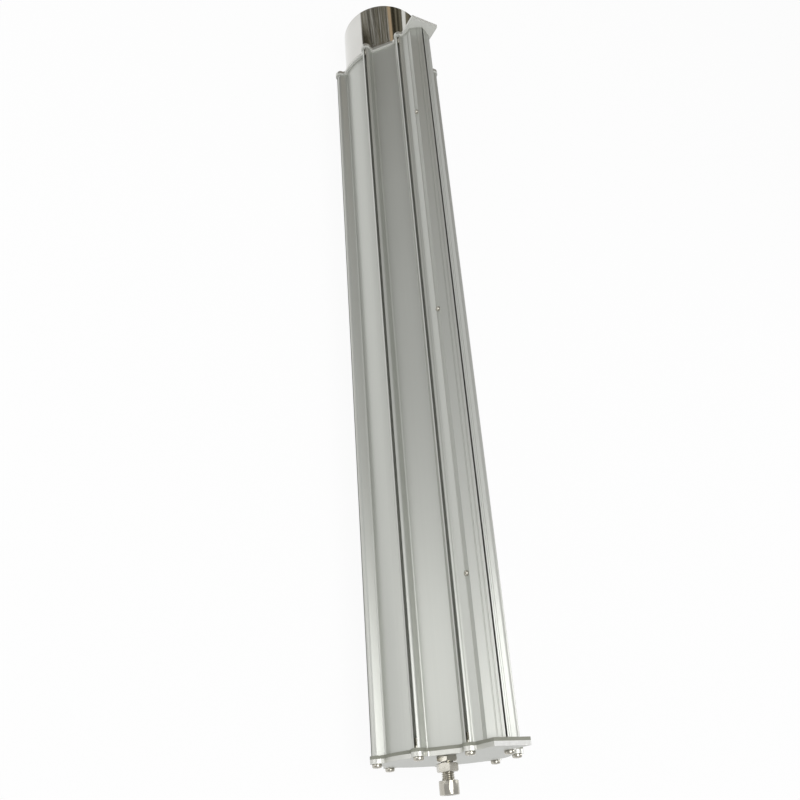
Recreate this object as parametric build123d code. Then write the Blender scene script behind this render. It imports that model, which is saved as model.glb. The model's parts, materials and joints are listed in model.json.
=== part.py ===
from build123d import *
import os
from math import cos, radians, sin, tan

# Compressed air knife: a long extruded aluminium body with a round plenum and a
# slot nozzle, closed by a gasket and a cut plate at each end. A duct tube enters
# one end plate, and a mounting bolt is screwed to the other.
# +Y runs along the body to the inlet tube, and +Z is the way the air leaves the
# slot. The part lies on the two lowest lugs of its end plates. Millimetres.

os.makedirs("parts", exist_ok=True)

# ---- body extrusion; a rise is a height above the plenum's axis ----
body_len = 900.0
plenum_bore_r = 56.5
body_wall = 3.5
flank_angle = 31.0  # of the converging walls, from the nozzle's axis
neck_half_w = 21.2  # outside, where the flanks meet the nozzle head
neck_rise = 67.5
head_half_w = 15.0
head_root_rise = 91.5  # where the head's straight sides begin
head_rise = 99.0  # where the bevelled nose begins
head_bead_r = 0.6  # bead along the foot of each straight side
slot_rise = 107.0  # mouth of the air slot
slot_gap = 2.0
slot_depth = 9.0
throat_half_w = 7.0  # inside, at the foot of the head's straight sides
nose_groove_r = 0.6
nose_groove_at = (0.55, 0.8)  # share of the bevel, from its outer edge
hollow_r = 2.5  # blend in the outer hollows

# ---- screw ports along the body, and the end screws in them ----
port_circle_r = 68.0
port_share = 7  # pitch is a seventh of a turn, with no port at the nozzle
lip_port_x = 20.6
lip_port_rise = 78.1
lip_port_turn = 48.0  # way a lip port's slot faces, from the nozzle's axis
boss_wall = 2.4
port_slot_w = 3.2
screw_d = 5.0
screw_len = 16.0
screw_head_d = 9.5
screw_head_h = 3.7
pan_bevel = 0.4  # share of a pan head's height that its bevel takes
tip_bevel = 0.1  # share of a thread's diameter that its tip is bevelled by
thread_gap = 0.1  # radial, between a screw and what it is screwed into
hole_gap = 0.25  # radial, in plates and gaskets

# ---- gap screws, across the slot from lip to lip ----
gap_screw_first = 148.0  # from the body's blind end
gap_screw_pitch = 300.0
gap_screw_count = 3
gap_screw_d = 3.0
gap_screw_len = 22.0
gap_screw_head_d = 5.6
gap_screw_head_h = 2.4

# ---- gaskets and end plates ----
blind_gasket_t = 3.0
inlet_gasket_t = 1.5
plate_t = 4.0
plate_margin = 3.0  # past the plenum's wall and the flanks
nose_side_margin = 4.0  # past the head's sides
nose_margin = 8.0  # past the slot's mouth
lug_r = 6.5
plate_hollow_r = 4.0

# ---- inlet tube ----
tube_od = 114.3
tube_wall = 2.0
tube_len = 90.0  # past the end plate

# ---- mounting bolt and its nuts ----
bolt_x = -24.5
bolt_rise = 43.0
bolt_d = 12.0
bolt_len = 20.0
bolt_tip_gap = 0.5  # from its tip to the end plate
bolt_head_d = 18.0
bolt_head_h = 12.0
bolt_head_chamfer = 0.8
bolt_socket_af = 10.0
bolt_socket_depth = 6.0
nut_af = 18.0
nut_bevel = 1.2  # height of the bevelled corners of a nut's face
nut_bevel_in = 1.3
weld_nut_h = 5.0
nut_spacing = 1.0
lock_nut_h = 7.5
lock_nut_turn = 11.0

# ---- what follows from them ----
plenum_r = plenum_bore_r + body_wall
port_r = screw_d / 2 + thread_gap
boss_r = port_r + boss_wall
tube_r = tube_od / 2
tube_bore_r = tube_r - tube_wall
nut_stack = weld_nut_h + nut_spacing + lock_nut_h
bolt_seat = bolt_len + bolt_tip_gap  # of its head, before the end plate
bolt_reach = bolt_seat + bolt_head_h
blind_stack = plate_t + blind_gasket_t
inlet_stack = inlet_gasket_t + plate_t
total_len = bolt_reach + blind_stack + body_len + inlet_stack + tube_len
blind_face_y = bolt_reach - total_len / 2
body_y = blind_face_y + blind_stack
body_end_y = body_y + body_len
inlet_face_y = body_end_y + inlet_stack


def ring_port(index):
    """Place of a port on the plenum's circle, and the way that its slot faces."""
    turn = index * 360 / port_share
    place = Vector(port_circle_r * sin(radians(turn)), port_circle_r * cos(radians(turn)))
    return place, turn


ports = [ring_port(index) for index in range(1, port_share)]
for side in (1, -1):
    ports.append((Vector(side * lip_port_x, lip_port_rise), side * lip_port_turn))
axis_z = lug_r - min(place.Y for place, turn in ports)


# ---- sections, drawn looking along +Y with the plenum's axis at their origin ----


def flank_x(rise, inset=0.0):
    """Half width between the converging walls at a rise, set in from their outside."""
    flank = radians(flank_angle)
    return neck_half_w + (neck_rise - rise) * tan(flank) - inset / cos(flank)


def mirrored(*half):
    """Face inside a half outline, given from its foot upwards, and its mirror image."""
    return make_face(Polyline(*half, *[(-x, rise) for x, rise in reversed(half)], close=True))


def discs(radius):
    """A disc of one radius at every port."""
    return [Pos(place.X, place.Y) * Circle(radius) for place, turn in ports]


def blended(section, radius):
    """The section with its hollow corners rounded."""
    return offset(offset(section, radius, kind=Kind.ARC), -radius, kind=Kind.ARC)


def bevel(share):
    """Point on the bevelled nose, from the head's side to the slot's mouth."""
    return Vector(
        head_half_w + share * (slot_gap / 2 - head_half_w),
        head_rise + share * (slot_rise - head_rise),
    )


def nozzle_outline(margin):
    """Flanks and nozzle head, grown sideways by a margin."""
    start = plenum_r * sin(radians(flank_angle))
    head = head_half_w + margin
    return mirrored(
        (flank_x(start, -margin), start),
        (flank_x(neck_rise, -margin), neck_rise),
        (lip_port_x, lip_port_rise),
        (head, head_root_rise),
        (head, head_rise),
    )


def body_outline():
    """The extrusion's outside, before its ports are opened."""
    nose = mirrored((head_half_w, head_root_rise), (head_half_w, head_rise), (slot_gap / 2, slot_rise))
    outside = Circle(plenum_r) + nozzle_outline(0.0) + nose
    return blended(outside + knuckles(boss_r, 2 * boss_r), hollow_r)


def cavity():
    """Plenum, converging channel and air slot."""
    start = plenum_bore_r * sin(radians(flank_angle))
    channel = mirrored(
        (flank_x(start, body_wall), start),
        (flank_x(neck_rise, body_wall), neck_rise),
        (throat_half_w, head_root_rise),
        (slot_gap / 2, slot_rise - slot_depth),
        (slot_gap / 2, slot_rise + nose_margin),
    )
    return Circle(plenum_bore_r) + channel


def port_opening(place, turn):
    """A port's bore, and the slot that opens it along the body."""
    slot = Pos(0, boss_r) * Rectangle(port_slot_w, 2 * boss_r)
    return Pos(place.X, place.Y) * (Circle(port_r) + Rot(0, 0, -turn) * slot)


def knuckle(place, turn, radius, web_w):
    """Round knuckle at a port, on a web rooted in the wall behind it."""
    root = port_circle_r - plenum_r + body_wall / 2
    web = Pos(0, -root / 2) * Rectangle(web_w, root)
    return Pos(place.X, place.Y) * (Circle(radius) + Rot(0, 0, -turn) * web)


def knuckles(radius, web_w):
    """A knuckle of one size at every port."""
    return [knuckle(place, turn, radius, web_w) for place, turn in ports]


def nose_groove(share, side):
    """Small round groove along the bevelled nose."""
    place = bevel(share)
    return Pos(side * place.X, place.Y) * Circle(nose_groove_r)


def body_section():
    section = body_outline() - cavity()
    for side in (1, -1):
        section += Pos(side * head_half_w, head_root_rise) * Circle(head_bead_r)
        for share in nose_groove_at:
            section -= nose_groove(share, side)
    for place, turn in ports:
        section -= port_opening(place, turn)
    return section


def plate_outline():
    """Outline that both gaskets and both end plates are cut to."""
    outside = Circle(plenum_r + plate_margin) + nozzle_outline(plate_margin)
    nose_half_w = head_half_w + nose_side_margin
    nose = mirrored((nose_half_w, lip_port_rise), (nose_half_w, slot_rise + nose_margin))
    return blended(outside + knuckles(lug_r, lug_r), plate_hollow_r) + nose


# ---- solids ----


def slab(section, start, length):
    """A section pushed along +Y from start."""
    return Pos(0, start + length, axis_z) * extrude(Plane.XZ * section, length)


def facing_y(x, rise, y, turn=0.0):
    """Frame at a place in the section, whose Z looks along +Y."""
    return Pos(x, y, axis_z + rise) * Rot(-90, 0, 0) * Rot(0, 0, turn)


def rod(radius, length):
    """Cylinder from the frame's origin along its Z."""
    return extrude(Circle(radius), length)


def pan_screw(thread_d, length, head_d, head_h):
    """Pan head screw, seated on its frame's origin, thread along +Z."""
    head = Pos(0, 0, -head_h) * rod(head_d / 2, head_h)
    head = chamfer(head.edges().group_by(Axis.Z)[0], head_h * pan_bevel)
    shank = rod(thread_d / 2, length)
    return head + chamfer(shank.edges().group_by(Axis.Z)[-1], thread_d * tip_bevel)


def nut(height):
    """Hexagon nut from its frame's origin along +Z, with bevelled corners."""
    corner_r = nut_af / 2 / cos(radians(30))
    prism = extrude(RegularPolygon(corner_r, 6), height)
    bevelled = rod(corner_r, height)
    bevelled = chamfer(bevelled.edges(), nut_bevel, nut_bevel_in)
    return (prism & bevelled) - rod(bolt_d / 2 + thread_gap, height)


def body():
    solid = slab(body_section(), body_y, body_len)
    for place in gap_screw_places():
        solid -= place * rod(gap_screw_d / 2 + thread_gap, gap_screw_len + hole_gap)
    return solid


def gap_screw_places():
    """Frames on the lip's straight side, whose Z crosses the slot."""
    rise = (head_root_rise + head_rise) / 2
    starts = [body_y + gap_screw_first + index * gap_screw_pitch for index in range(gap_screw_count)]
    return [Pos(-head_half_w, y, axis_z + rise) * Rot(0, 90, 0) for y in starts]


def holed(section):
    """The section with a screw hole at every port."""
    return section - discs(screw_d / 2 + hole_gap)


def end_sheet(start, thickness, bore_r=0.0):
    """Gasket or end plate, with the screws' holes and its own bore, if it has one."""
    section = holed(plate_outline())
    if bore_r:
        section -= Circle(bore_r)
    return slab(section, start, thickness)


def inlet_tube():
    """Tube that butts on the inlet end plate, round a bore of its own inside width."""
    section = Circle(tube_r) - Circle(tube_bore_r)
    return slab(section, inlet_face_y, tube_len)


def mounting_bolt():
    """Socket head cap screw, seated on its frame's origin, thread along +Z."""
    head = Pos(0, 0, -bolt_head_h) * rod(bolt_head_d / 2, bolt_head_h)
    head = chamfer(head.edges().group_by(Axis.Z)[0], bolt_head_chamfer)
    socket = RegularPolygon(bolt_socket_af / 2 / cos(radians(30)), 6)
    head -= Pos(0, 0, -bolt_head_h) * extrude(socket, bolt_socket_depth)
    shank = rod(bolt_d / 2, bolt_len)
    return head + chamfer(shank.edges().group_by(Axis.Z)[-1], bolt_d * tip_bevel)


def bolt_frame(before_plate, turn=0.0):
    """Frame on the mounting bolt's axis, at a distance before the blind end's face."""
    return facing_y(bolt_x, bolt_rise, blind_face_y - before_plate, turn)


parts = {
    "extruded_body": body(),
    "blind_end_plate": end_sheet(blind_face_y, plate_t),
    "blind_gasket": end_sheet(blind_face_y + plate_t, blind_gasket_t),
    "inlet_gasket": end_sheet(body_end_y, inlet_gasket_t, plenum_bore_r),
    "inlet_end_plate": end_sheet(body_end_y + inlet_gasket_t, plate_t, tube_bore_r),
    "inlet_tube": inlet_tube(),
    "mounting_bolt": bolt_frame(bolt_seat) * mounting_bolt(),
    "weld_nut": bolt_frame(weld_nut_h) * nut(weld_nut_h),
    "lock_nut": bolt_frame(nut_stack, lock_nut_turn) * nut(lock_nut_h),
}
for number, (place, turn) in enumerate(ports, start=1):
    blind_seat = facing_y(place.X, place.Y, blind_face_y)
    inlet_seat = facing_y(place.X, place.Y, inlet_face_y) * Rot(180, 0, 0)
    parts[f"blind_end_screw_{number}"] = blind_seat * pan_screw(screw_d, screw_len, screw_head_d, screw_head_h)
    parts[f"inlet_end_screw_{number}"] = inlet_seat * pan_screw(screw_d, screw_len, screw_head_d, screw_head_h)
for number, place in enumerate(gap_screw_places(), start=1):
    parts[f"gap_screw_{number}"] = place * pan_screw(gap_screw_d, gap_screw_len, gap_screw_head_d, gap_screw_head_h)

for name, solid in parts.items():
    export_step(solid, f"parts/{name}.step")

print(f"overall length {total_len:.1f}, plenum's axis {axis_z:.2f} above the lugs' feet")
print(f"blind face y {blind_face_y:.2f}, body y {body_y:.2f} to {body_end_y:.2f}, inlet face y {inlet_face_y:.2f}")
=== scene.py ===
import json
from math import acos, atan2, cos, pi, radians, sin

import bmesh
import bpy
from mathutils import Matrix, Vector


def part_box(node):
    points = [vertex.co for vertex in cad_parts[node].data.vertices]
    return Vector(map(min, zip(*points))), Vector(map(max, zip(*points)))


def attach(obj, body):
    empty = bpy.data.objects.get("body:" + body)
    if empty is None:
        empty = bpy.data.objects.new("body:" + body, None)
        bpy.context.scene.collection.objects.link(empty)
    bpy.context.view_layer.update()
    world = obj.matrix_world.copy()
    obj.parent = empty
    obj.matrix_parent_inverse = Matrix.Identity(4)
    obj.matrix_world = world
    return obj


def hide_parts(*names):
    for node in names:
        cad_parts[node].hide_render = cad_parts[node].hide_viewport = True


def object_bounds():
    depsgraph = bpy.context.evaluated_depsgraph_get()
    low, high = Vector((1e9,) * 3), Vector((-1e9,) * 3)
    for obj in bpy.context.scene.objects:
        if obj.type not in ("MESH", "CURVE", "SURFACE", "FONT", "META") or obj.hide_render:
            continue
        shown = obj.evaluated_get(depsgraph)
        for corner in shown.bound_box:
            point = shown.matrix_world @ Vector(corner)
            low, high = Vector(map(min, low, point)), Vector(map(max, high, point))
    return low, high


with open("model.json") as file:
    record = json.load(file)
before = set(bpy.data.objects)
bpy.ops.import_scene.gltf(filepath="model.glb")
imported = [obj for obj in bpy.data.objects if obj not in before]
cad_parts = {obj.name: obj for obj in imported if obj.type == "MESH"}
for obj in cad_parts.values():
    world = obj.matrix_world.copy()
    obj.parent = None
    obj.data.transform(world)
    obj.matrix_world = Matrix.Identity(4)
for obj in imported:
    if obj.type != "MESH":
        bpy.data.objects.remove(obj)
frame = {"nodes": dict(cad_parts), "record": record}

MM = 0.001
BODY = "root"
cad_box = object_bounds()
nodes = frame["nodes"]
nose_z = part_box("blind_end_plate")[1].z
axis_z = sum(corner.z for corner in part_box("inlet_tube")) / 2


# ---- shader maths --------------------------------------------------------------------


class Value:
    """A socket of a finish, with the operators that its expressions use."""

    def __init__(self, finish, socket):
        self.finish = finish
        self.socket = socket

    def math(self, operation, *values, clamp=False):
        return self.finish.node("Math", {"operation": operation, "use_clamp": clamp}, *values)[0]

    def __add__(self, other):
        return self.math("ADD", self, other)

    def __radd__(self, other):
        return self.math("ADD", other, self)

    def __sub__(self, other):
        return self.math("SUBTRACT", self, other)

    def __rsub__(self, other):
        return self.math("SUBTRACT", other, self)

    def __mul__(self, other):
        return self.math("MULTIPLY", self, other)

    def __rmul__(self, other):
        return self.math("MULTIPLY", other, self)

    def __truediv__(self, other):
        return self.math("DIVIDE", self, other)

    def __abs__(self):
        return self.math("ABSOLUTE", self)

    def held(self):
        """The value held between 0 and 1."""
        return self.math("ADD", self, 0.0, clamp=True)

    def between(self, low, high):
        """0 up to low, 1 from high, and even in between."""
        return ((self - low) / (high - low)).held()

    def band(self, low, high, soft):
        """1 between low and high, falling to 0 over a soft margin outside them."""
        return self.between(low - soft, low) * (1.0 - self.between(high, high + soft))


class Finish:
    """A material under construction around one surface shader."""

    def __init__(self, name, shader="BsdfPrincipled", **constants):
        self.material = bpy.data.materials.new(name)
        self.material.use_nodes = True
        self.tree = self.material.node_tree
        self.tree.nodes.clear()
        self.shader = self.tree.nodes.new("ShaderNode" + shader)
        self.out = self.tree.nodes.new("ShaderNodeOutputMaterial")
        self.show(Value(self, self.shader.outputs[0]))
        self.set(**constants)

    def show(self, surface):
        self.feed(self.out.inputs["Surface"], surface)

    def feed(self, socket, value):
        if isinstance(value, Value):
            self.tree.links.new(value.socket, socket)
        else:
            socket.default_value = value

    def set(self, **values):
        """Sets or links the surface shader's own sockets."""
        for name, value in values.items():
            self.feed(self.shader.inputs[name.replace("_", " ")], value)

    def node(self, kind, settings=None, *inputs, **named):
        """Adds a node, with its settings first and its inputs after, and gives its outputs.

        An input of None is left as it is.
        """
        made = self.tree.nodes.new("ShaderNode" + kind)
        for name, value in (settings or {}).items():
            setattr(made, name, value)
        for place, value in enumerate(inputs):
            if value is not None:
                self.feed(made.inputs[place], value)
        for name, value in named.items():
            self.feed(made.inputs[name.replace("_", " ")], value)
        return [Value(self, socket) for socket in made.outputs]

    def place(self):
        """The point being shaded, in metres in the object's frame."""
        return self.node("TexCoord")[3]

    def split(self, vector):
        """The X, Y and Z of a vector."""
        return self.node("SeparateXYZ", None, vector)

    def facing(self):
        """How much the surface faces along X, Y and Z."""
        return self.split(self.node("TexCoord")[1])

    def drawn_grain(self, along, across, detail=3.0):
        """Noise drawn out along Y, with its scale along it and across it, per metre."""
        drawn = self.node("Mapping", None, self.place(), Scale=(across, along, across))[0]
        return self.node("TexNoise", None, drawn, Scale=1.0, Detail=detail, Roughness=0.6)[0]

    def mottle(self, scale, detail=4.0):
        """Even noise, with its scale per metre."""
        return self.node("TexNoise", None, self.place(), Scale=scale, Detail=detail)[0]

    def upright_streaks(self, across, along, twist):
        """Noise drawn out along Y, with some twist in its streaks."""
        drawn = self.node("Mapping", None, self.place(), Scale=(across, along, 1.0))[0]
        return self.node("TexNoise", None, drawn, Scale=1.0, Detail=2.0, Distortion=twist)[0]

    def tint(self, share, first, second):
        """The colour at a share of the way from the first to the second."""
        colours = [(*value, 1.0) if isinstance(value, tuple) else value for value in (first, second)]
        unused = [None] * 5
        return self.node("Mix", {"data_type": "RGBA"}, share, *unused, *colours)[2]

    def bump(self, height, depth, strength=1.0):
        """Relief of a depth in metres where the height goes from 0 to 1."""
        relief = self.node("Bump", None, Height=height, Strength=strength, Distance=depth)[0]
        self.set(Normal=relief)


# ---- finishes ------------------------------------------------------------------------


def satin_extrusion():
    """Anodised aluminium, drawn through a die: fine lines along Y and a soft sheen."""
    finish = Finish("satin_extrusion", Metallic=0.88)
    die_lines = finish.drawn_grain(0.6, 900.0)
    broad_lines = finish.drawn_grain(0.25, 120.0, 2.0)
    cloud = finish.mottle(9.0)
    grit = finish.mottle(5200.0, 1.0)
    shade = 0.4 * die_lines + 0.2 * broad_lines + 0.4 * cloud
    finish.set(
        Base_Color=finish.tint(shade.between(0.3, 0.7), (0.535, 0.545, 0.51), (0.575, 0.585, 0.55)),
        Roughness=0.37 + 0.05 * die_lines + 0.05 * cloud,
    )
    finish.bump(0.5 * die_lines + 0.5 * grit, 0.000008, 0.5)
    return finish.material


def cut_plate():
    """Aluminium sheet: dull rolled faces, cut edges with marks across their thickness, and a painted highlight
    on the upward faces near the top of the nose.
    """
    finish = Finish("cut_plate", Metallic=0.85)
    facing = finish.facing()
    edge = 1.0 - abs(facing[1]).between(0.5, 0.9)
    # painted highlight: a mask of the upward faces just below the top of the nose
    painted_nose_highlight = facing[2].between(0.9, 0.98) * finish.split(finish.place())[2].between(nose_z - 2 * MM, nose_z - MM)
    cut_marks = finish.drawn_grain(30.0, 1400.0, 4.0)
    scuffs = finish.mottle(160.0)
    rolled = finish.mottle(2600.0, 2.0)
    dull = finish.tint(edge * 0.8 + 0.2 * scuffs, (0.52, 0.53, 0.5), (0.62, 0.62, 0.58))
    finish.set(
        # the near-white colour is a painted highlight on the nose, broken by the cut marks
        Base_Color=finish.tint(painted_nose_highlight * (0.6 + 0.4 * cut_marks), dull, (0.97, 0.97, 0.95)),
        Roughness=0.4 + 0.1 * scuffs - 0.14 * edge,
    )
    finish.bump(edge * cut_marks + (1.0 - edge) * 0.15 * rolled, 0.00025, 0.6)
    return finish.material


def gasket_sheet():
    """Grey-green rubber sheet with a matt cut edge."""
    finish = Finish("gasket_sheet", Specular_IOR_Level=0.35)
    crumb = finish.mottle(1800.0)
    patch = finish.mottle(60.0)
    finish.set(
        Base_Color=finish.tint(0.5 * crumb + 0.5 * patch, (0.2, 0.205, 0.165), (0.33, 0.335, 0.285)),
        Roughness=0.62 + 0.2 * crumb,
    )
    finish.bump(crumb, 0.00012, 0.6)
    return finish.material


def painted_lit_gasket():
    """Gasket rubber between the body and the inlet plate, painted paler than the other gasket as painted light
    on that lit face.
    """
    finish = Finish("painted_lit_gasket", Specular_IOR_Level=0.4)
    crumb = finish.mottle(900.0)
    finish.set(
        # the pale tint is painted light: the same rubber as the blind gasket, shown lit
        Base_Color=finish.tint(crumb, (0.52, 0.525, 0.49), (0.66, 0.665, 0.63)),
        Roughness=0.45 + 0.2 * crumb,
    )
    finish.bump(crumb, 0.00006, 0.5)
    return finish.material


def mirror_tube():
    """Polished stainless tube, with faint lines from the polishing belt round it."""
    finish = Finish("mirror_tube", Metallic=1.0)
    belt = finish.drawn_grain(1500.0, 3.0, 2.0)
    haze = finish.mottle(24.0)
    finish.set(
        Base_Color=finish.tint(haze, (0.6, 0.595, 0.565), (0.7, 0.695, 0.665)),
        Roughness=0.045 + 0.05 * haze + 0.03 * belt,
    )
    finish.bump(belt, 0.000004, 0.4)
    return finish.material


def bright_fastener():
    """Stainless steel screws and nuts, bright with soft scuffs."""
    finish = Finish("bright_fastener", Metallic=1.0)
    scuffs = finish.mottle(900.0)
    stain = finish.mottle(140.0)
    finish.set(
        Base_Color=finish.tint(stain, (0.42, 0.4, 0.345), (0.6, 0.58, 0.52)),
        Roughness=0.1 + 0.12 * scuffs,
    )
    finish.bump(scuffs, 0.00002, 0.5)
    return finish.material


def pale_stage(name, tone, glow):
    """Pale floor that shows white and keeps a soft shadow."""
    finish = Finish(name, "BsdfDiffuse", Color=(tone, tone, tone, 1.0), Roughness=1.0)
    rays = finish.node("LightPath")
    seen = (rays[0] + rays[3] + rays[6]).held()
    lit = Value(finish, finish.shader.outputs[0])
    white = finish.node("Emission", None, (1.0, 1.0, 1.0, 1.0), 1.0)[0]
    finish.show(finish.node("MixShader", None, glow * seen, lit, white)[0])
    return finish.material


def dark_room(name):
    """Far side of a dim room, as polished metal shows it: dark, with upright streaks of light."""
    finish = Finish(name, "Emission", Strength=1.0)
    across = finish.split(finish.place())[0]
    broad = finish.upright_streaks(4.0, 0.3, 1.0)
    fine = finish.upright_streaks(13.0, 1.1, 2.5)
    shade = finish.tint(broad.between(0.42, 0.62), (0.03, 0.026, 0.016), (0.17, 0.155, 0.115))
    lit = fine.between(0.56, 0.63) * across.band(-1.7, -0.3, 0.1)
    shade = finish.tint(0.75 * lit, shade, (0.8, 0.79, 0.76))
    shade = finish.tint(across.band(-0.24, -0.04, 0.06), shade, (0.5, 0.38, 0.25))
    finish.set(Color=finish.tint(across.band(0.95, 1.2, 0.03), shade, (0.9, 0.9, 0.88)))
    return finish.material


# ---- mesh helpers --------------------------------------------------------------------


def piece(name, mesh, finish, slot, *replaced, place=Matrix.Identity(4)):
    """A new piece of the part, riding on its body in place of CAD nodes."""
    made = bpy.data.objects.new(name, mesh)
    bpy.context.scene.collection.objects.link(made)
    made.matrix_world = place
    made.data.materials.clear()
    made.data.materials.append(finish)
    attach(made, BODY)
    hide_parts(*replaced)
    return made


def ring(shape, radius, height, sides):
    """A ring of points, whose radius may depend on the turn."""
    points = []
    for step in range(sides):
        turn = 2 * pi * step / sides
        reach = radius(turn) if callable(radius) else radius
        points.append(shape.verts.new((reach * cos(turn), reach * sin(turn), height)))
    return points


def skin(shape, lower, upper):
    """Faces between two rings."""
    count = len(lower)
    for step in range(count):
        after = (step + 1) % count
        shape.faces.new((lower[step], lower[after], upper[after], upper[step]))


def thread_radius(height, major, pitch, depth):
    """Radius of a thread's flank at a height, as a function of the turn."""

    def radius(turn):
        phase = (height / pitch - turn / (2 * pi)) % 1.0
        flank = min(1.0, max(0.0, 1.35 * abs(2 * phase - 1.0) - 0.12))
        return major - depth * flank

    return radius


def turned(rows, sides):
    """Closed mesh of rows (radius, height) from one end of an axis to the other."""
    shape = bmesh.new()
    rings = [ring(shape, radius, height, sides) for radius, height in rows]
    for lower, upper in zip(rings, rings[1:]):
        skin(shape, lower, upper)
    shape.faces.new(reversed(rings[0]))
    shape.faces.new(rings[-1])
    return shape


def finished(shape, name, smooth_angle=35.0):
    """The mesh of a shape, smooth where its faces meet at less than an angle in degrees."""
    mesh = bpy.data.meshes.new(name)
    bmesh.ops.recalc_face_normals(shape, faces=shape.faces)
    for face in shape.faces:
        face.smooth = True
    limit = radians(smooth_angle)
    for edge in shape.edges:
        edge.smooth = edge.is_manifold and edge.calc_face_angle(0.0) < limit
    shape.to_mesh(mesh)
    shape.free()
    return mesh


def thread_rows(start, end, major, pitch, steps=7):
    """Rows of a thread between two heights, running out at both ends."""
    depth = 0.61 * pitch
    count = max(2, round(abs(end - start) / pitch * steps))
    rows = []
    for step in range(count + 1):
        height = start + (end - start) * step / count
        from_end = min(abs(height - start), abs(end - height))
        rows.append((thread_radius(height, major, pitch, depth * min(1.0, from_end / (0.7 * pitch))), height))
    return rows


def combined(mesh, tool_mesh, operation, name):
    """The mesh with another mesh added to it or taken out of it."""
    scene = bpy.context.scene
    whole = bpy.data.objects.new(name, mesh)
    tool = bpy.data.objects.new(name + "_tool", tool_mesh)
    for made in (whole, tool):
        scene.collection.objects.link(made)
    step = whole.modifiers.new("combine", "BOOLEAN")
    step.object = tool
    step.operation = operation
    step.solver = "EXACT"
    step.use_self = True
    bpy.context.view_layer.update()
    result = bpy.data.meshes.new_from_object(whole.evaluated_get(bpy.context.evaluated_depsgraph_get()))
    for made in (whole, tool):
        bpy.data.objects.remove(made)
    result.name = name
    return result


def evenly_shaded(mesh, name, corner=15.0):
    """The mesh, welded, with its flat faces shaded flat and its arcs smooth."""
    shape = bmesh.new()
    shape.from_mesh(mesh)
    bmesh.ops.remove_doubles(shape, verts=shape.verts, dist=0.001 * MM)
    made = bpy.data.objects.new(name, finished(shape, name, corner))
    bpy.context.scene.collection.objects.link(made)
    made.modifiers.new("even", "WEIGHTED_NORMAL").keep_sharp = True
    bpy.context.view_layer.update()
    result = bpy.data.meshes.new_from_object(made.evaluated_get(bpy.context.evaluated_depsgraph_get()))
    bpy.data.objects.remove(made)
    result.name = name
    return result


# ---- flat flanks ---------------------------------------------------------------------

FLANK_DEPTH = 2.0 * MM  # how far a flank's prism reaches under the flat
FLANK_TOP = radians(32)  # turn at which the prism ends inside the wall


def flank_prism(side, low, high, reach, neck):
    """Prism under a flat flank, which touches a circle of radius reach and ends at the neck."""
    foot_turn = atan2(neck.x, neck.y) + acos(reach / neck.length)
    inner = reach - FLANK_DEPTH
    outline = [reach * around(foot_turn), neck, neck * (1 - FLANK_DEPTH / neck.length)]
    outline += [inner * around(FLANK_TOP), inner * around(foot_turn)]
    shape = bmesh.new()
    ends = [[shape.verts.new((side * p.x, y, axis_z + p.y)) for p in outline] for y in (low, high)]
    skin(shape, *ends)
    shape.faces.new(ends[0])
    shape.faces.new(ends[1])
    return finished(shape, "flank_prism")


def around(turn):
    """Unit vector across the body, at a turn from the way that the air leaves."""
    return Vector((sin(turn), cos(turn)))


def flat_flanked(node, reach, neck, finish, slot):
    """The node with the flat flanks that join its upper ring ports to its neck."""
    low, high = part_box(node)
    mesh = evenly_shaded(nodes[node].data, node + "_welded")
    for side in (1, -1):
        mesh = combined(mesh, flank_prism(side, low.y, high.y, reach, neck), "UNION", node + "_union")
    return piece("flanked_" + node, evenly_shaded(mesh, node + "_mesh"), finish, slot, node)


# ---- fasteners -----------------------------------------------------------------------

END_HEAD_H = 3.7 * MM
END_THREAD_R = 2.5 * MM
END_PITCH = 0.8 * MM
END_PLAIN = 9.0 * MM  # of the shank, before its thread starts
GAP_HEAD_H = 2.4 * MM
GAP_THREAD_R = 1.5 * MM
GAP_PITCH = 0.5 * MM
GAP_PLAIN = 1.0 * MM
BOLT_HEAD_H = 12.0 * MM
BOLT_THREAD_R = 6.0 * MM
BOLT_PITCH = 1.75 * MM
SOCKET_AF = 10.0 * MM
SOCKET_DEPTH = 6.0 * MM


def pan_head(head_r, head_h):
    """Rows of a pan head from the top of its dome to its seat, above height 0."""
    rows = []
    for step in range(9):
        lift = step / 8
        rows.append((head_r * (0.12 + 0.88 * sin(0.5 * pi * lift) ** 0.75), head_h * (1 - 0.62 * lift ** 3.2)))
    rows += [(head_r, head_h * 0.2), (head_r * 0.985, head_h * 0.06), (head_r * 0.95, 0.0)]
    return rows


def cross_recess(span, width, depth, head_h):
    """Tapered cross of a recess, reaching down from above a head's dome."""
    shape = bmesh.new()
    above = head_h * 1.5
    for turn in (0.0, 0.5 * pi):
        arm = []
        for share, height in ((0.45, head_h - depth), (1.0, above)):
            half = 0.5 * span * share
            corners = ((-half, -width / 2), (half, -width / 2), (half, width / 2), (-half, width / 2))
            level = [
                shape.verts.new((x * cos(turn) - y * sin(turn), x * sin(turn) + y * cos(turn), height))
                for x, y in corners
            ]
            arm.append(level)
        skin(shape, *arm)
        shape.faces.new(reversed(arm[0]))
        shape.faces.new(arm[1])
    return finished(shape, "cross_recess")


def pan_screw_mesh(name, head_r, head_h, thread_r, length, pitch, plain):
    """Pan head screw with its seat at height 0, its head above it and its thread below."""
    rows = pan_head(head_r, head_h)
    rows += [(thread_r, 0.0), (thread_r, -plain)]
    rows += thread_rows(-plain - 0.01 * pitch, -length + 0.6 * pitch, thread_r, pitch)
    rows += [(thread_r * 0.72, -length)]
    mesh = finished(turned(rows, 28), name)
    recess = cross_recess(head_r * 1.15, head_r * 0.24, head_h * 0.62, head_h)
    return combined(mesh, recess, "DIFFERENCE", name)


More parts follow.
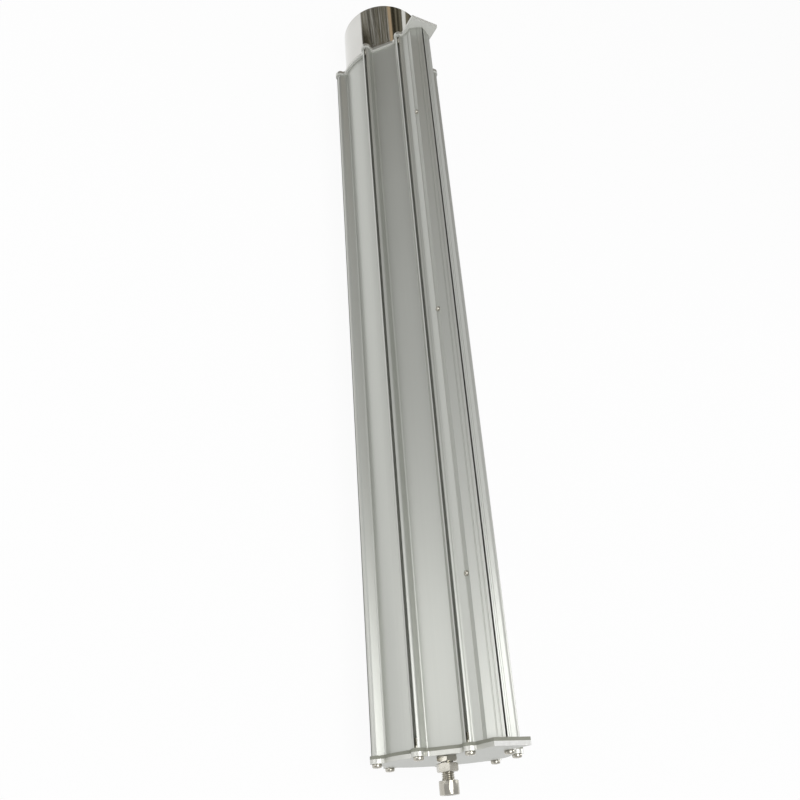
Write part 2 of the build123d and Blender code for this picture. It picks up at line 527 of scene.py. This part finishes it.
def end_screws(finish):
    """The end screws of both ends, each in place of its CAD node."""
    low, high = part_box("blind_end_screw_1")
    head_r = (high.x - low.x) / 2
    length = (high.y - low.y) - END_HEAD_H
    mesh = pan_screw_mesh("end_screw", head_r, END_HEAD_H, END_THREAD_R, length, END_PITCH, END_PLAIN)
    for node in sorted(nodes):
        if "_end_screw_" not in node:
            continue
        low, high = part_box(node)
        middle = (low + high) / 2
        blind = node.startswith("blind")
        seat_y = low.y + END_HEAD_H if blind else high.y - END_HEAD_H
        out = Vector((0, -1, 0)) if blind else Vector((0, 1, 0))
        number = int(node.rsplit("_", 1)[1])
        turn = Matrix.Rotation(2.4 * number + (0.9 if blind else 0.0), 4, "Z")
        aim = out.to_track_quat("Z", "Y").to_matrix().to_4x4()
        place = Matrix.Translation((middle.x, seat_y, middle.z)) @ aim
        piece("threaded_" + node, mesh.copy(), finish, "stainless_fastener", node, place=place @ turn)


def gap_screws(finish):
    """The small screws across the slot, each in place of its CAD node."""
    low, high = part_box("gap_screw_1")
    head_r = (high.z - low.z) / 2
    length = (high.x - low.x) - GAP_HEAD_H
    mesh = pan_screw_mesh("gap_screw", head_r, GAP_HEAD_H, GAP_THREAD_R, length, GAP_PITCH, GAP_PLAIN)
    for node in sorted(nodes):
        if not node.startswith("gap_screw"):
            continue
        low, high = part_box(node)
        middle = (low + high) / 2
        turn = Matrix.Rotation(1.7 * int(node[-1]), 4, "Z")
        place = Matrix.Translation((low.x + GAP_HEAD_H, middle.y, middle.z)) @ Matrix.Rotation(-pi / 2, 4, "Y")
        piece("threaded_" + node, mesh.copy(), finish, "stainless_fastener", node, place=place @ turn)


def hexagon(radius, low, high, name):
    """Hexagonal prism between two heights."""
    shape = bmesh.new()
    skin(shape, *[ring(shape, radius, height, 6) for height in (low, high)])
    shape.verts.ensure_lookup_table()
    shape.faces.new(reversed(shape.verts[:6]))
    shape.faces.new(shape.verts[6:])
    return finished(shape, name)


def mounting_bolt(finish):
    """The socket head cap screw, with its socket and thread."""
    low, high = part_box("mounting_bolt")
    head_r = (high.x - low.x) / 2
    head_h = BOLT_HEAD_H
    length = (high.y - low.y) - head_h
    edge = 0.9 * MM  # of the chamfer and of the groove above the seat
    rows = [(head_r - 2.4 * edge, head_h), (head_r - edge, head_h)]
    rows += [(head_r - 0.3 * edge, head_h - 0.3 * edge), (head_r, head_h - edge)]
    rows += [(head_r, 2.2 * edge), (head_r - 0.25 * edge, 1.9 * edge), (head_r - 0.25 * edge, 1.5 * edge)]
    rows += [(head_r, 1.2 * edge), (head_r, 0.5 * edge), (head_r - 0.5 * edge, 0.0)]
    rows += [(BOLT_THREAD_R + 0.3 * MM, 0.0), (BOLT_THREAD_R, -0.3 * MM)]
    rows += thread_rows(-0.35 * MM, -length + 0.5 * BOLT_PITCH, BOLT_THREAD_R, BOLT_PITCH, 10)
    rows += [(BOLT_THREAD_R * 0.8, -length)]
    mesh = finished(turned(rows, 64), "mounting_bolt_mesh")
    socket = hexagon(SOCKET_AF / 2 / cos(radians(30)), head_h - SOCKET_DEPTH, head_h * 1.2, "socket")
    mesh = combined(mesh, socket, "DIFFERENCE", "mounting_bolt_mesh")
    middle = (low + high) / 2
    place = Matrix.Translation((middle.x, low.y + head_h, middle.z)) @ Matrix.Rotation(pi / 2, 4, "X")
    piece("threaded_mounting_bolt", mesh, finish, "stainless_fastener", "mounting_bolt", place=place)


# ---- the part ------------------------------------------------------------------------

finishes = {
    "body_aluminium": satin_extrusion(),
    "plate_aluminium": cut_plate(),
    "gasket_rubber": gasket_sheet(),
    "polished_tube": mirror_tube(),
    "stainless_fastener": bright_fastener(),
}
for row in frame["record"]["subparts"]:
    surface = nodes[row["node"]].data.materials
    surface.clear()
    surface.append(finishes[row["material_slot"]])

body_reach = 60.0 * MM  # of the plenum's outside, from its axis
body_neck = Vector((21.2, 67.5)) * MM  # where a flank meets the nozzle head
flat_flanked("extruded_body", body_reach, body_neck, finishes["body_aluminium"], "body_aluminium")
sheet_margin = 3.0 * MM  # of gaskets and plates, past the body
sheet_neck = body_neck + Vector((3.5, 0)) * MM
sheets = {
    "blind_gasket": ("gasket_rubber", finishes["gasket_rubber"]),
    # the inlet gasket is the same rubber, painted paler as painted light
    "inlet_gasket": ("gasket_rubber", painted_lit_gasket()),
    "blind_end_plate": ("plate_aluminium", finishes["plate_aluminium"]),
    "inlet_end_plate": ("plate_aluminium", finishes["plate_aluminium"]),
}
for node, (slot, finish) in sheets.items():
    flat_flanked(node, body_reach + sheet_margin, sheet_neck, finish, slot)
end_screws(finishes["stainless_fastener"])
gap_screws(finishes["stainless_fastener"])
mounting_bolt(finishes["stainless_fastener"])


# ---- floor, light and camera ---------------------------------------------------------


def stage_plane(name, width, length, place, finish):
    """A flat sheet of the stage, which is no piece of the part."""
    shape = bmesh.new()
    bmesh.ops.create_grid(shape, x_segments=1, y_segments=1, size=0.5)
    bmesh.ops.scale(shape, vec=(width, length, 1.0), verts=shape.verts)
    made = bpy.data.objects.new(name, finished(shape, name))
    made.matrix_world = place
    made.data.materials.append(finish)
    bpy.context.scene.collection.objects.link(made)
    return made


def soft_lamp(name, place, target, width, length, power):
    """A rectangular lamp that looks at a target."""
    lamp = bpy.data.lights.new(name, "AREA")
    lamp.shape = "RECTANGLE"
    lamp.size = width
    lamp.size_y = length
    lamp.energy = power
    made = bpy.data.objects.new(name, lamp)
    made.location = place
    made.rotation_euler = (Vector(target) - Vector(place)).to_track_quat("-Z", "Y").to_euler()
    bpy.context.scene.collection.objects.link(made)
    return made


def pale_world(ambient):
    """World that shows a light grey and lights the part at an even level."""
    world = bpy.data.worlds.new("studio")
    bpy.context.scene.world = world
    world.use_nodes = True
    tree = world.node_tree
    tree.nodes.clear()
    rays = tree.nodes.new("ShaderNodeLightPath")
    seen = tree.nodes.new("ShaderNodeMath")
    seen.operation = "MAXIMUM"
    tree.links.new(rays.outputs["Is Camera Ray"], seen.inputs[0])
    tree.links.new(rays.outputs["Is Transmission Ray"], seen.inputs[1])
    level = tree.nodes.new("ShaderNodeMapRange")
    level.inputs["To Min"].default_value = ambient
    level.inputs["To Max"].default_value = 1.0
    sky = tree.nodes.new("ShaderNodeBackground")
    out = tree.nodes.new("ShaderNodeOutputWorld")
    tree.links.new(seen.outputs[0], level.inputs["Value"])
    tree.links.new(level.outputs[0], sky.inputs["Strength"])
    tree.links.new(sky.outputs[0], out.inputs["Surface"])


low, high = cad_box
floor_z = low[2]
floor_w = 8.0
stage_plane("floor", floor_w, floor_w, Matrix.Translation((0, 0, floor_z)), pale_stage("pale_floor", 0.9, 0.93))

# the room behind the inlet end, which only reflections show
room_w = 4.2
room_h = 2.3
room_gap = 2.0
room_at = (0, high[1] + room_gap, floor_z + room_h / 2)
room_place = Matrix.Translation(room_at) @ Matrix.Rotation(pi / 2, 4, "X")
room = stage_plane("dark_room", room_w, room_h, room_place, dark_room("dim_room"))
room.visible_camera = False
room.visible_diffuse = False
room.visible_shadow = False
pale_world(0.7)

blind_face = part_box("blind_end_plate")[0].y
soft_lamp("key", (-0.15, blind_face - 0.1, 1.5), (0, -0.25, 0.1), 0.9, 0.9, 9.0)
soft_lamp("left_strip", (-1.4, -0.2, 0.45), (0, 0.0, 0.08), 0.4, 1.6, 3.5)
soft_lamp("right_strip", (1.3, -0.25, 0.2), (0, -0.2, 0.12), 0.35, 1.5, 5.0)

# the camera looks down past the bolt end and along the body
camera_data = bpy.data.cameras.new("camera")
camera_data.sensor_width = 36.0
camera_data.lens = 38.32
camera_data.clip_start = 0.05
camera = bpy.data.objects.new("camera", camera_data)
bpy.context.scene.collection.objects.link(camera)
camera.matrix_world = (
    Matrix.Translation((-0.4492, blind_face - 0.0672, axis_z + 0.7624))
    @ Matrix.Rotation(radians(-29.42), 4, "Y")
    @ Matrix.Rotation(radians(27.43), 4, "X")
    @ Matrix.Rotation(radians(-4.52), 4, "Z")
)
bpy.context.scene.camera = camera
bpy.context.scene.view_settings.view_transform = "Standard"
